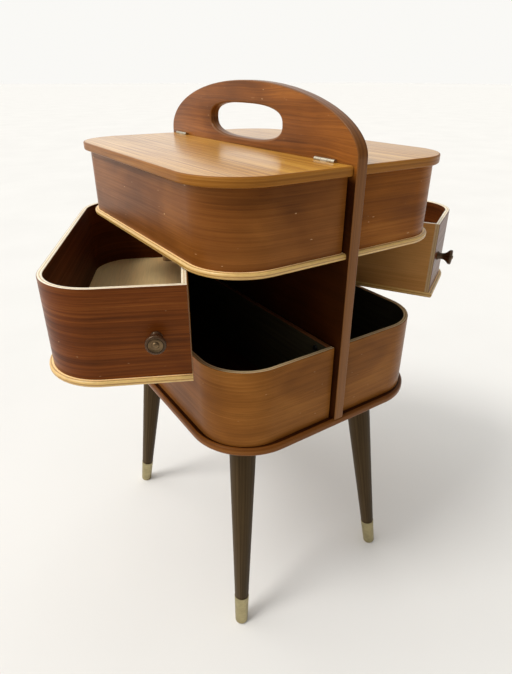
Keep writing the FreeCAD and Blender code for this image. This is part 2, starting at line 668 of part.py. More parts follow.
def make_lid():
    """A lid board, notched at its inner edge for the two hinges."""
    inner = board_face + LID_EDGE_GAP
    length = BOX_LENGTH + 2 * LID_END_OVERHANG
    radius = BOX_CORNER_RADIUS + (LID_SIDE_OVERHANG + LID_END_OVERHANG) / 2
    lid = d_slab(inner, BOX_REACH + LID_SIDE_OVERHANG, length, radius, lid_bottom, LID_THICKNESS)
    lid = lid.makeFillet(LID_EDGE_ROUND, rim_edges(lid, inner, (lid_bottom, lid_top)))
    half = HINGE_LENGTH / 2 + HINGE_NOTCH_CLEARANCE
    for y in hinge_middles():
        lid = lid.cut(block((board_face, y - half, lid_bottom - 1),
                            (lid_leaf_outer, y + half, lid_top + 1)))
    for place in lid_hinge_screw_places():
        lid = lid.cut(hinge_screw(place, X_AXIS, STATIC_CLEARANCE))
    return lid


def knuckle_spans(y):
    """The three knuckles of a hinge, as (low, high) along Y.  The middle one is the lid's."""
    third = HINGE_LENGTH / 3
    spans = []
    for index in range(3):
        low = y - HINGE_LENGTH / 2 + index * third
        spans.append((low + HINGE_KNUCKLE_GAP / 2, low + third - HINGE_KNUCKLE_GAP / 2))
    return spans


def hinge_leaf(y, spans, leaf_low_x, screw_places, screw_direction):
    """One leaf of a hinge, its knuckles round the pin and its countersunk screw holes."""
    plate_top = hinge_z - HINGE_KNUCKLE_RADIUS - HINGE_NOTCH_CLEARANCE
    half = HINGE_LENGTH / 2
    leaf = block((leaf_low_x, y - half, hinge_z - HINGE_LEAF_DROP),
                 (leaf_low_x + HINGE_LEAF, y + half, plate_top))
    bore = cylinder(HINGE_PIN_RADIUS + RUNNING_CLEARANCE, HINGE_LENGTH + 2,
                    V(hinge_x, y - half - 1, hinge_z), Y_AXIS)
    for low, high in spans:
        tab = block((leaf_low_x, low, plate_top - 1), (leaf_low_x + HINGE_LEAF, high, hinge_z))
        knuckle = cylinder(HINGE_KNUCKLE_RADIUS, high - low, V(hinge_x, low, hinge_z), Y_AXIS)
        leaf = leaf.fuse(tab).fuse(knuckle)
    leaf = leaf.removeSplitter().cut(bore)
    for place in screw_places:
        leaf = leaf.cut(hinge_screw(place, screw_direction, STATIC_CLEARANCE))
    return leaf


def hinge_screw(place, direction, clearance):
    """A small countersunk screw whose flat head starts at place, or its clearance."""
    head = Part.makeCone(HINGE_SCREW_HEAD_RADIUS + clearance, HINGE_SCREW_RADIUS + clearance,
                         HINGE_LEAF, place, direction)
    shank = cylinder(HINGE_SCREW_RADIUS + clearance, HINGE_SCREW_LENGTH + clearance, place, direction)
    return head.fuse(shank).removeSplitter()


def hinge_screw_places(x):
    z = hinge_z - (HINGE_LEAF_DROP + HINGE_KNUCKLE_RADIUS + HINGE_NOTCH_CLEARANCE) / 2
    return [V(x, y + offset, z) for y in hinge_middles()
            for offset in (-HINGE_SCREW_AT, HINGE_SCREW_AT)]


def board_hinge_screw_places():
    return hinge_screw_places(board_face + HINGE_LEAF)


def lid_hinge_screw_places():
    return hinge_screw_places(lid_leaf_outer - HINGE_LEAF)


def near(places, y):
    return [p for p in places if abs(p.y - y) < HINGE_LENGTH]


def make_board_hinge_leaves():
    return [hinge_leaf(y, knuckle_spans(y)[::2], board_face, near(board_hinge_screw_places(), y),
                       V(-1, 0, 0)) for y in hinge_middles()]


def make_lid_hinge_leaves():
    return [hinge_leaf(y, knuckle_spans(y)[1:2], lid_leaf_outer - HINGE_LEAF,
                       near(lid_hinge_screw_places(), y), X_AXIS) for y in hinge_middles()]


def make_hinge_pins():
    return [cylinder(HINGE_PIN_RADIUS, HINGE_LENGTH, V(hinge_x, y - HINGE_LENGTH / 2, hinge_z), Y_AXIS)
            for y in hinge_middles()]


# ---- assembly ------------------------------------------------------------------------------
def both_sides(pieces):
    """A list of pieces at +X with their mirror images."""
    return list(pieces) + [on_side(piece, -1) for piece in pieces]


def cut_all(solid, tools):
    for tool in tools:
        solid = solid.cut(tool)
    return solid


def build_stand():
    top_places = spacer_places(BOX_LENGTH, top_rim - TOP_SPACER_DROP)
    bin_places = spacer_places(bin_length, bin_rim - BIN_SPACER_DROP)
    screw_holes = [box_screw(p, STATIC_CLEARANCE) for p in top_places + bin_places]
    hinge_holes = [hinge_screw(p, V(-1, 0, 0), STATIC_CLEARANCE) for p in board_hinge_screw_places()]
    board_holes = [board_screw(y, STATIC_CLEARANCE) for y in (-board_screw_y, 0.0, board_screw_y)]
    shapes["centre_board"] = cut_all(make_centre_board(),
                                     both_sides(screw_holes + hinge_holes) + board_holes)
    rod_seat = pivot_hole(STATIC_CLEARANCE, LEG_HEIGHT + PIVOT_ROD_SEAT, BASE_THICKNESS)
    leg_holes = [leg_bolt(STATIC_CLEARANCE)]
    leg_holes += [leg_plate_screw(p, STATIC_CLEARANCE) for p in leg_plate_screw_places()]
    plate_holes = board_holes + both_sides([rod_seat])
    for name, x_sign, y_sign in leg_places():
        plate_holes += [place_leg(hole, x_sign, y_sign) for hole in leg_holes]
    shapes["base_plate"] = cut_all(make_base_plate(), plate_holes)
    shapes["board_screws"] = [board_screw(y, 0) for y in (-board_screw_y, 0.0, board_screw_y)]
    shapes["top_box_spacers"] = both_sides([spacer(p) for p in top_places])
    shapes["bin_spacers"] = both_sides([spacer(p) for p in bin_places])
    shapes["top_box_screws"] = both_sides([box_screw(p, 0) for p in top_places])
    shapes["bin_screws"] = both_sides([box_screw(p, 0) for p in bin_places])


def build_legs():
    leg = make_leg()
    ferrule = make_ferrule()
    plate = make_leg_plate()
    bolt = leg_bolt(0)
    screws = [leg_plate_screw(p, 0) for p in leg_plate_screw_places()]
    shapes["leg_plates"] = []
    shapes["leg_bolts"] = []
    shapes["leg_plate_screws"] = []
    for name, x_sign, y_sign in leg_places():
        shapes["leg_" + name] = place_leg(leg, x_sign, y_sign)
        shapes["ferrule_" + name] = place_leg(ferrule, x_sign, y_sign)
        shapes["leg_plates"].append(place_leg(plate, x_sign, y_sign))
        shapes["leg_bolts"].append(place_leg(bolt, x_sign, y_sign))
        shapes["leg_plate_screws"] += [place_leg(s, x_sign, y_sign) for s in screws]


def build_fixed_boxes():
    pieces = {
        "bin_wall": make_bin_wall(),
        "bin_back": make_fixed_back(bin_length, base_top, BIN_WALL_HEIGHT, BIN_SPACER_DROP),
        "top_box_wall": make_top_wall(),
        "top_box_back": make_fixed_back(BOX_LENGTH, top_floor_top, TOP_WALL_HEIGHT, TOP_SPACER_DROP),
        "top_box_floor": make_top_floor(),
        "pivot_rod": make_pivot_rod(),
        "pivot_sleeve": make_pivot_sleeve()}
    for side, x_sign in SIDES.items():
        for name, piece in pieces.items():
            shapes[side + "_" + name] = on_side(piece, x_sign)
    shapes["pivot_washers"] = both_sides(make_pivot_washers())
    shapes["pivot_cap_nuts"] = both_sides([make_cap_nut()])


def build_drawers():
    pieces = {
        "drawer_wall": make_drawer_wall(),
        "drawer_back": back_wall(drawer_back, BOX_LENGTH, drawer_bottom + FLOOR_PLY,
                                 DRAWER_HEIGHT - FLOOR_PLY),
        "drawer_floor": make_drawer_floor(),
        "drawer_pivot_block": make_pivot_block(),
        "drawer_knob": make_knob(),
        "drawer_knob_cap": make_knob_cap(),
        "drawer_knob_screw": make_knob_screw()}
    for side, x_sign in SIDES.items():
        for name, piece in pieces.items():
            placed = on_side(piece, x_sign).copy()
            placed.rotate(V(x_sign * pivot_x, pivot_y, 0), Z_AXIS, x_sign * DRAWER_OPEN_DEGREES[side])
            shapes[side + "_" + name] = placed


def build_lids():
    lid = make_lid()
    leaves = make_lid_hinge_leaves()
    screws = [hinge_screw(p, X_AXIS, 0) for p in lid_hinge_screw_places()]
    for side, x_sign in SIDES.items():
        shapes[side + "_lid"] = on_side(lid, x_sign)
        shapes[side + "_lid_hinge_leaves"] = [on_side(leaf, x_sign) for leaf in leaves]
        shapes[side + "_lid_hinge_screws"] = [on_side(screw, x_sign) for screw in screws]
    board_screws = [hinge_screw(p, V(-1, 0, 0), 0) for p in board_hinge_screw_places()]
    shapes["board_hinge_leaves"] = both_sides(make_board_hinge_leaves())
    shapes["board_hinge_screws"] = both_sides(board_screws)
    shapes["hinge_pins"] = both_sides(make_hinge_pins())


def main():
    build_stand()
    build_legs()
    build_fixed_boxes()
    build_drawers()
    build_lids()
    os.makedirs("parts", exist_ok=True)
    for name, shape in shapes.items():
        pieces = shape if isinstance(shape, list) else [shape]
        solids = [solid for piece in pieces for solid in piece.Solids]
        if len(solids) != len(pieces) or not all(solid.isValid() for solid in solids):
            raise ValueError(name + " is not one valid solid per piece")
        result = solids[0] if len(solids) == 1 else Part.makeCompound(solids)
        result.exportStep("parts/" + name + ".step")
    print(len(shapes), "nodes, height", round(board_top, 2))


main()
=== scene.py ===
import json
import math
import bmesh
import bpy
from mathutils import Matrix, Vector
from mathutils.geometry import tessellate_polygon

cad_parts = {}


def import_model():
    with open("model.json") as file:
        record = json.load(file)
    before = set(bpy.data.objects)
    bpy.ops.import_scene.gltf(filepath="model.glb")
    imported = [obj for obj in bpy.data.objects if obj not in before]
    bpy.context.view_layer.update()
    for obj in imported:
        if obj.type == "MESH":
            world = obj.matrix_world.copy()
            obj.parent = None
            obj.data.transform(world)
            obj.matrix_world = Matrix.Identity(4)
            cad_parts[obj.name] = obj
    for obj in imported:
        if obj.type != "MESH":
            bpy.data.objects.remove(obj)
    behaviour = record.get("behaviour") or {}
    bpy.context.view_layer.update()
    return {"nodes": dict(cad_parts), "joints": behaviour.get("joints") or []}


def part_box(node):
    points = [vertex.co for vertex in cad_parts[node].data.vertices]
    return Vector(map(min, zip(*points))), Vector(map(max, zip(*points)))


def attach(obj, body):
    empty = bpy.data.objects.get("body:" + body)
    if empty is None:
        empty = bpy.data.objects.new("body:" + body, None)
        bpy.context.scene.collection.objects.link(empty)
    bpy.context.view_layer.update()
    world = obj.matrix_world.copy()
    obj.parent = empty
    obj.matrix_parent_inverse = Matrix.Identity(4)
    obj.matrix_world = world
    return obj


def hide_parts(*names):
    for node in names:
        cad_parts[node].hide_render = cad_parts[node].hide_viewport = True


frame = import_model()

# Everything is in metres.  "left" is at -X and "right" at +X; the knobs are at -Y.
SIDES = {"left": -1, "right": 1}
PLY = 0.0055                  # bent walls and back walls
WALL_RADIUS = 0.057           # outside radius of the corners of a top box or drawer wall
BIN_RADIUS = 0.0585
FLOOR_PLY = 0.0066            # boards under the top boxes and drawers
FLOOR_OVERHANG = 0.0045
LID_RADIUS = 0.0635
LID_THICKNESS = 0.0094
LID_ROUND = 0.0016
HINGE_LENGTH = 0.030
HINGE_NOTCH_MARGIN = 0.0004
BASE_RADIUS = 0.073
BASE_ROUND = 0.0035
RIM_ROUND = 0.0007
DRAWER_END_GAP = 0.0006       # drawer wall end to its back wall's face
OUTER_TURN = 4                # faces up a wall and round its outer edge that show the veneer
ARC_STEPS = 28                # faces round a quarter turn

ARCH_RISE = 0.064
BOARD_ROUND = 0.0012
HAND_HOLE_HALF_LENGTH = 0.0765
HAND_HOLE_HALF_HEIGHT = 0.0188
HAND_HOLE_FULLNESS = 2.7      # 2 is a plain ellipse
HAND_HOLE_DROP = 0.0425
HAND_HOLE_OFFSET = 0.002
HAND_HOLE_ROUND = 0.0025

LEG_TOP = Vector((0.0915, 0.127))
LEG_SPLAY = Vector((0.0300, 0.0385))
LEG_TOP_RADIUS = 0.0175
LEG_TIP_RADIUS = 0.0092
FERRULE_HEIGHT = 0.042
FERRULE_TOP_RADIUS = 0.0097
FERRULE_FOOT_RADIUS = 0.0084
FERRULE_FOOT_ROUND = 0.0035
FERRULE_EXTRA = 0.0012        # turned this much too long, then cut level with the floor
FERRULE_RIM = 0.0022          # height of the rim round the ferrule's mouth

KNOB_CAP_SEAT = 0.0022        # depth of the recess for the cap
KNOB_CAP_EDGE = 0.0018        # height of the cap's own edge above the recess

FLOOR_REACH = 60.0
WINDOW_SIDE = (-0.35, 0.78, 0.52)
CAMERA_PLACE = (-0.3481, -0.5369, 0.6628)
CAMERA_DEGREES = (-33.86, 27.39, -0.17)     # azimuth, elevation and roll
CAMERA_LENS = 26.78
SENSOR_WIDTH = 36.0


# ---- materials ---------------------------------------------------------------------------
class Nodes:
    """A short way to write a material's node tree."""

    def __init__(self, name):
        self.material = bpy.data.materials.new(name)
        self.material.use_nodes = True
        self.tree = self.material.node_tree
        self.shader = self.tree.nodes["Principled BSDF"]

    def add(self, kind, inputs=None, **settings):
        node = self.tree.nodes.new(kind)
        for key, value in settings.items():
            setattr(node, key, value)
        for key, value in (inputs or {}).items():
            self.feed(node.inputs[key], value)
        return node

    def feed(self, socket, value):
        if isinstance(value, bpy.types.NodeSocket):
            self.tree.links.new(value, socket)
        else:
            socket.default_value = value

    def maths(self, operation, first, second=0.5):
        return self.add("ShaderNodeMath", {0: first, 1: second}, operation=operation).outputs[0]

    def mix(self, amount, first, second, blend="MIX"):
        node = self.add("ShaderNodeMix", data_type="RGBA", blend_type=blend)
        colours = [socket for socket in node.inputs if socket.type == "RGBA"]
        self.feed(node.inputs["Factor"], amount)
        self.feed(colours[0], first)
        self.feed(colours[1], second)
        return [socket for socket in node.outputs if socket.type == "RGBA"][0]

    def ramp(self, value, stops):
        node = self.add("ShaderNodeValToRGB", {"Fac": value})
        elements = node.color_ramp.elements
        while len(elements) < len(stops):
            elements.new(0.5)
        for element, (position, colour) in zip(elements, stops):
            element.position = position
            element.color = colour
        return node.outputs["Color"]

    def noise(self, vector, scale, detail=4.0, roughness=0.5, distortion=0.0):
        return self.add("ShaderNodeTexNoise",
                        {"Vector": vector, "Scale": scale, "Detail": detail,
                         "Roughness": roughness, "Distortion": distortion}).outputs["Fac"]

    def bump(self, height, strength, distance):
        node = self.add("ShaderNodeBump", {"Height": height, "Strength": strength,
                                           "Distance": distance})
        self.feed(self.shader.inputs["Normal"], node.outputs["Normal"])

    def finish(self, colour, roughness, **sockets):
        self.feed(self.shader.inputs["Base Color"], colour)
        self.feed(self.shader.inputs["Roughness"], roughness)
        for key, value in sockets.items():
            self.shader.inputs[key.replace("_", " ")].default_value = value
        return self.material


def rgb(red, green, blue):
    return (red, green, blue, 1.0)


def grey(value):
    return (value, value, value, 1.0)


def stored_grain(made):
    """The piece's own grain coordinates."""
    return made.add("ShaderNodeAttribute", attribute_name="grain").outputs["Vector"]


def wandering_grain(made, sway):
    """Grain coordinates whose lines drift sideways a little along their length."""
    stored = stored_grain(made)
    parts = made.add("ShaderNodeSeparateXYZ", {"Vector": stored})
    slow = made.add("ShaderNodeMapping", {"Vector": stored, "Scale": (5.0, 14.0, 1.0)})
    drift = made.noise(slow.outputs["Vector"], 1.0, 2.0, 0.5)
    shift = made.maths("MULTIPLY", made.maths("SUBTRACT", drift, 0.5), sway)
    across = made.maths("ADD", parts.outputs["Y"], shift)
    return made.add("ShaderNodeCombineXYZ", {"X": parts.outputs["X"], "Y": across}).outputs[0]


def stretched(made, vector, along, across, seed):
    return made.add("ShaderNodeMapping", {"Vector": vector, "Location": (seed, seed * 1.7, seed),
                                          "Scale": (along, across, 1.0)}).outputs["Vector"]


def veneer(name, dark, middle, light, seed=0.0, bands=60.0, lines=430.0, sway=0.004,
           line_share=0.62, gloss=0.28, specular=0.15, coat=0.0, pores=0.5, wear=0.15,
           tint=(1.0, 0.80, 0.55), patches=0.16, contrast=1.0, nicks=0.0,
           painted_shade_below=None):
    """Lacquered veneer: wandering bands, fine lines, open pores, paler rubbed edges, and an optional painted
    shade below a given height.
    """
    made = Nodes(name)
    vector = wandering_grain(made, sway)
    broad = made.noise(stretched(made, vector, 1.6, bands, seed), 1.0, 3.0, 0.55, 0.35)
    fine = made.noise(stretched(made, vector, 4.5, lines, seed * 2.3), 1.0, 4.0, 0.62, 0.1)
    hair = made.noise(stretched(made, vector, 16.0, lines * 5.0, seed * 3.7), 1.0, 2.0, 0.5)
    pore = made.noise(stretched(made, vector, 70.0, lines * 8.0, seed), 1.0, 1.0, 0.5)
    tone = made.maths("ADD", made.maths("MULTIPLY", broad, (1.0 - line_share) * contrast),
                      made.maths("MULTIPLY", fine, line_share * contrast))
    tone = made.maths("ADD", tone, 0.5 * (1.0 - contrast))
    patch = made.noise(stretched(made, vector, 11.0, 20.0, seed * 1.3), 1.0, 2.0, 0.5, 0.3)
    tone = made.maths("ADD", tone,
                      made.maths("MULTIPLY", made.maths("SUBTRACT", patch, 0.5), patches))
    colour = made.ramp(tone, [(0.34, dark), (0.50, middle), (0.66, light)])
    colour = made.mix(1.0, colour, made.ramp(hair, [(0.25, grey(0.80)), (0.7, grey(1.08))]),
                      "MULTIPLY")
    mask = made.ramp(pore, [(0.62, grey(0)), (0.70, grey(1))])
    deeper = made.mix(1.0, colour, grey(0.45), "MULTIPLY")
    colour = made.mix(made.maths("MULTIPLY", mask, pores), colour, deeper)
    edge = made.add("ShaderNodeNewGeometry").outputs["Pointiness"]
    rubbed = made.ramp(edge, [(0.51, grey(0)), (0.60, grey(1))])
    colour = made.mix(made.maths("MULTIPLY", rubbed, wear), colour, light)
    if nicks:
        spot = made.noise(stretched(made, vector, 120.0, 330.0, seed * 4.1), 1.0, 1.0, 0.5)
        bare = made.ramp(spot, [(0.775, grey(0)), (0.82, grey(nicks))])
        colour = made.mix(bare, colour, rgb(0.62, 0.40, 0.20))
    # painted shade: below this height the colour is darkened towards near black, standing in for the shade on
    # the board's face under the top boxes and between the bins
    if painted_shade_below:
        level = made.add("ShaderNodeSeparateXYZ", {"Vector": vector}).outputs["Y"]
        low = made.add("ShaderNodeMapRange", {"Value": level, "From Min": painted_shade_below,
                                              "From Max": painted_shade_below + 0.012, "To Min": 1.0,
                                              "To Max": 0.0}).outputs["Result"]
        colour = made.mix(low, colour, made.mix(1.0, colour, rgb(0.14, 0.10, 0.08), "MULTIPLY"))
    height = made.maths("SUBTRACT", made.maths("MULTIPLY", fine, 0.5), made.maths("MULTIPLY", mask, 0.5))
    made.bump(height, 0.12, 0.0004)
    rough = made.ramp(fine, [(0.3, grey(gloss + 0.10)), (0.7, grey(gloss))])
    return made.finish(colour, rough, Coat_Weight=coat, Coat_Roughness=0.22,
                       Specular_IOR_Level=specular, Specular_Tint=rgb(*tint))


def ply_edge(name, pale, tan, line, coat=0.2):
    """The cut edge of three-layer plywood, with a thin line at the outer veneer and at each glue."""
    made = Nodes(name)
    stored = stored_grain(made)
    depth = made.add("ShaderNodeSeparateXYZ", {"Vector": stored}).outputs["Z"]
    waver = made.noise(stored, 60.0, 2.0)
    depth = made.maths("ADD", depth, made.maths("MULTIPLY", made.maths("SUBTRACT", waver, 0.5), 0.12))
    fleck = made.add("ShaderNodeMapping", {"Vector": stored, "Scale": (260.0, 700.0, 4.0)})
    flecks = made.noise(fleck.outputs["Vector"], 1.0, 4.0, 0.6)
    stain = made.add("ShaderNodeMapping", {"Vector": stored, "Scale": (14.0, 14.0, 1.0)})
    stains = made.noise(stain.outputs["Vector"], 1.0, 3.0, 0.5)
    layers = made.ramp(depth, [(0.0, line), (0.10, line), (0.16, pale), (0.40, pale), (0.45, tan),
                               (0.58, tan), (0.63, pale), (0.93, pale), (1.0, tan)])
    shade = made.ramp(flecks, [(0.3, grey(0.80)), (0.6, grey(1.0))])
    colour = made.mix(1.0, layers, shade, "MULTIPLY")
    dirty = made.maths("MULTIPLY", made.ramp(stains, [(0.45, grey(0)), (0.75, grey(1))]), 0.4)
    colour = made.mix(dirty, colour, tan)
    made.bump(flecks, 0.15, 0.0003)
    return made.finish(colour, 0.42, Coat_Weight=coat, Coat_Roughness=0.2)


def birch(name, pale, tan):
    """Light birch ply faces: soft wavy figure and short flecks."""
    made = Nodes(name)
    stored = stored_grain(made)
    broad = made.add("ShaderNodeMapping", {"Vector": stored,
                                           "Scale": (3.0, 16.0, 16.0)}).outputs["Vector"]
    fine = made.add("ShaderNodeMapping", {"Vector": stored,
                                          "Scale": (26.0, 420.0, 420.0)}).outputs["Vector"]
    figure = made.noise(broad, 1.0, 3.0, 0.5, 1.2)
    flecks = made.noise(fine, 1.0, 3.0, 0.55)
    colour = made.mix(made.ramp(figure, [(0.3, grey(0)), (0.75, grey(1))]), pale, tan)
    shade = made.ramp(flecks, [(0.3, grey(0.90)), (0.6, grey(1.0))])
    colour = made.mix(1.0, colour, shade, "MULTIPLY")
    made.bump(flecks, 0.08, 0.0003)
    return made.finish(colour, 0.5, Specular_IOR_Level=0.15)


def black_stain(name):
    """Black stained ply inside the bins, dull, with the grain just showing."""
    made = Nodes(name)
    fine = made.add("ShaderNodeMapping", {"Vector": stored_grain(made),
                                          "Scale": (8.0, 300.0, 300.0)}).outputs["Vector"]
    streaks = made.noise(fine, 1.0, 4.0, 0.6)
    colour = made.ramp(streaks, [(0.3, rgb(0.026, 0.022, 0.011)), (0.7, rgb(0.060, 0.050, 0.026))])
    made.bump(streaks, 0.12, 0.0003)
    return made.finish(colour, 0.55, Specular_IOR_Level=0.25)


def brushed_metal(name, colour, dark, roughness=0.3, scale=900.0):
    """Metal with fine brushing and a little tarnish, from the object's own coordinates."""
    made = Nodes(name)
    place = made.add("ShaderNodeTexCoord").outputs["Object"]
    brush = made.add("ShaderNodeMapping", {"Vector": place,
                                           "Scale": (scale * 0.2, scale * 0.2, scale)})
    lines = made.noise(brush.outputs["Vector"], 1.0, 3.0, 0.6)
    tarnish = made.noise(place, 90.0, 4.0, 0.6)
    tone = made.mix(made.ramp(tarnish, [(0.35, grey(0)), (0.75, grey(0.8))]), colour, dark)
    shade = made.ramp(lines, [(0.3, grey(0.85)), (0.7, grey(1.0))])
    tone = made.mix(1.0, tone, shade, "MULTIPLY")
    rough = made.ramp(lines, [(0.2, grey(roughness + 0.12)), (0.8, grey(roughness))])
    made.bump(lines, 0.06, 0.0002)
    return made.finish(tone, rough, Metallic=1.0)


def bare_wood(name, dark, light):
    """Unlacquered wood on small fittings, from the object's own coordinates."""
    made = Nodes(name)
    place = made.add("ShaderNodeTexCoord").outputs["Object"]
    upright = made.add("ShaderNodeMapping", {"Vector": place, "Scale": (6.0, 6.0, 60.0)})
    grain = made.noise(upright.outputs["Vector"], 3.0, 5.0, 0.6, 0.4)
    colour = made.ramp(grain, [(0.3, dark), (0.7, light)])
    made.bump(grain, 0.2, 0.0004)
    return made.finish(colour, 0.6)


wood = {
    "wall_left": veneer("veneer_left", seed=0.9, contrast=0.55, patches=0.55, nicks=0.8,
                        dark=rgb(0.078, 0.020, 0.002), middle=rgb(0.165, 0.050, 0.007),
                        light=rgb(0.270, 0.094, 0.017)),
    "wall_right": veneer("veneer_right", seed=2.3, specular=0.08, contrast=0.6, patches=0.5,
                         nicks=0.6, dark=rgb(0.094, 0.022, 0.002),
                         middle=rgb(0.222, 0.066, 0.007), light=rgb(0.350, 0.124, 0.019)),
    "bin_wall": veneer("veneer_bin", seed=3.6, lines=380.0, sway=0.016, contrast=0.6,
                       patches=0.6, nicks=0.7, dark=rgb(0.130, 0.040, 0.006), middle=rgb(0.225, 0.078, 0.012),
                       light=rgb(0.330, 0.128, 0.024), specular=0.12),
    "drawer_wall": veneer("veneer_drawer", seed=8.7, lines=300.0, sway=0.006, nicks=0.5,
                          dark=rgb(0.040, 0.007, 0.001), middle=rgb(0.122, 0.027, 0.003),
                          light=rgb(0.225, 0.064, 0.010)),
    "inside": veneer("veneer_inside", seed=11.9, gloss=0.5, specular=0.1,
                     dark=rgb(0.040, 0.009, 0.001), middle=rgb(0.085, 0.020, 0.003),
                     light=rgb(0.130, 0.034, 0.006)),
    "lid": veneer("lid_veneer", seed=4.4, line_share=0.75, lines=440.0, gloss=0.31, specular=0.5,
                  coat=0.6, bands=40.0, sway=0.002, tint=(1.0, 0.95, 0.9),
                  dark=rgb(0.290, 0.105, 0.006),
                  middle=rgb(0.560, 0.265, 0.024), light=rgb(0.780, 0.430, 0.070)),
    "lid_edge": veneer("lid_edge_veneer", seed=6.2, lines=700.0, wear=0.4,
                       dark=rgb(0.150, 0.045, 0.004), middle=rgb(0.280, 0.102, 0.012),
                       light=rgb(0.400, 0.170, 0.030)),
    # the board's face is darkened below 0.574 m as painted shade under the top boxes and between the bins
    "board": veneer("board_veneer", seed=4.7, bands=26.0, lines=420.0, sway=0.020, line_share=0.5,
                    specular=0.2, patches=0.42, contrast=0.75, nicks=0.5, dark=rgb(0.080, 0.022, 0.003),
                    middle=rgb(0.205, 0.063, 0.008), light=rgb(0.330, 0.112, 0.016), wear=0.4,
                    painted_shade_below=0.574),
    "board_edge": veneer("board_edge_veneer", seed=7.7, lines=900.0, wear=0.5, specular=0.24,
                         tint=(1.0, 0.86, 0.68),
                         dark=rgb(0.095, 0.030, 0.005), middle=rgb(0.180, 0.064, 0.013),
                         light=rgb(0.280, 0.112, 0.030)),
    "base": veneer("base_veneer", seed=9.4, wear=0.4, dark=rgb(0.100, 0.028, 0.004),
                   middle=rgb(0.190, 0.064, 0.011), light=rgb(0.290, 0.110, 0.024)),
    # the base plate's top is dark stain with painted shade added: made near black to stand in for the shade
    # on the band between the bin walls and the plate's edge
    "base_top": veneer("base_top_stain_and_painted_shade", seed=3.7, specular=0.1, dark=rgb(0.016, 0.004, 0.001),
                       middle=rgb(0.032, 0.007, 0.001), light=rgb(0.050, 0.012, 0.002)),
    "raw": veneer("raw_veneer", seed=12.8, gloss=0.5, specular=0.15, patches=0.45, pores=0.3,
                  bands=34.0, contrast=0.5,
                  dark=rgb(0.370, 0.160, 0.038), middle=rgb(0.470, 0.215, 0.058),
                  light=rgb(0.570, 0.280, 0.086)),
    "rim": ply_edge("ply_rim", rgb(0.93, 0.86, 0.68), rgb(0.62, 0.45, 0.24), rgb(0.30, 0.14, 0.05)),
    "raw_rim": ply_edge("ply_raw_rim", rgb(0.52, 0.34, 0.15), rgb(0.40, 0.23, 0.09),
                        rgb(0.22, 0.11, 0.04)),
    "bin_rim": ply_edge("ply_bin_rim", rgb(0.66, 0.50, 0.28), rgb(0.34, 0.18, 0.07),
                        rgb(0.12, 0.05, 0.018)),
    "bin_back_rim": ply_edge("ply_bin_back_rim", rgb(0.20, 0.074, 0.024), rgb(0.15, 0.052, 0.015),
                             rgb(0.07, 0.024, 0.007), coat=0.0),
    "trim": ply_edge("ply_trim", rgb(0.74, 0.48, 0.15), rgb(0.42, 0.21, 0.045),
                     rgb(0.34, 0.17, 0.04), coat=0.3),
    "birch": birch("birch_floor", rgb(1.0, 0.72, 0.35), rgb(1.0, 0.62, 0.27)),
    "black": black_stain("black_stained_ply"),
    "leg": veneer("dark_leg", seed=2.9, gloss=0.42, specular=0.14, bands=90.0, lines=600.0,
                  dark=rgb(0.028, 0.015, 0.005), middle=rgb(0.054, 0.032, 0.012),
                  light=rgb(0.084, 0.053, 0.022)),
    "knob": veneer("dark_knob", seed=6.6, gloss=0.22, specular=0.5, bands=90.0, lines=500.0,
                   dark=rgb(0.022, 0.008, 0.003), middle=rgb(0.042, 0.016, 0.006),
                   light=rgb(0.070, 0.028, 0.011)),
    "block": bare_wood("block_wood", rgb(0.36, 0.20, 0.09), rgb(0.55, 0.36, 0.18))}
metal = {
    "brass": brushed_metal("brushed_brass", rgb(0.50, 0.43, 0.24), rgb(0.33, 0.28, 0.15), 0.36),
    "old_brass": brushed_metal("aged_brass", rgb(0.22, 0.145, 0.075), rgb(0.10, 0.06, 0.032), 0.34),
    "nickel": brushed_metal("worn_nickel", rgb(0.58, 0.53, 0.42), rgb(0.28, 0.23, 0.15), 0.28),
    "blacked": brushed_metal("blacked_steel", rgb(0.05, 0.05, 0.05), rgb(0.02, 0.02, 0.02), 0.5),
    "steel": brushed_metal("zinc_steel", rgb(0.60, 0.60, 0.58), rgb(0.40, 0.39, 0.36), 0.34)}


# ---- mesh helpers --------------------------------------------------------------------------
class Shape:
    """Faces with grain coordinates: X along the grain, Y across it, Z 0..1 through the ply."""

    def __init__(self):
        self.points = []
        self.faces = []
        self.grain = []
        self.materials = []

    def face(self, points, grain, material):
        start = len(self.points)
        self.points += [Vector(p) for p in points]
        self.faces.append(tuple(range(start, start + len(points))))
        self.grain += list(grain)
        self.materials.append(material)

    def strip(self, ring_a, ring_b, grain_a, grain_b, material, closed=False):
        """Quads between two rings with the same number of points."""
        count = len(ring_a)
        for i in range(count if closed else count - 1):
            j = (i + 1) % count
            self.face([ring_a[i], ring_a[j], ring_b[j], ring_b[i]],
                      [grain_a[i], grain_a[i + 1], grain_b[i + 1], grain_b[i]], material)

    def make(self, name, body, slot, replaces, materials, matrix=None, mirrored=False, sharp=32):
        points = [Vector((-p.x, p.y, p.z)) for p in self.points] if mirrored else self.points
        mesh = bpy.data.meshes.new(name)
        mesh.from_pydata([tuple(p) for p in points], [], self.faces)
        for material in materials:
            mesh.materials.append(material)
        mesh.polygons.foreach_set("material_index", self.materials)
        stored = mesh.attributes.new("grain", "FLOAT_VECTOR", "CORNER")
        stored.data.foreach_set("vector", [value for corner in self.grain for value in corner])
        weld(mesh)
        mesh.shade_smooth()
        mesh.set_sharp_from_angle(angle=math.radians(sharp))
        if matrix:
            mesh.transform(matrix)
        piece = bpy.data.objects.new(name, mesh)
        bpy.context.scene.collection.objects.link(piece)
        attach(piece, body)
        if replaces:
            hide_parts(*replaces)
        return piece


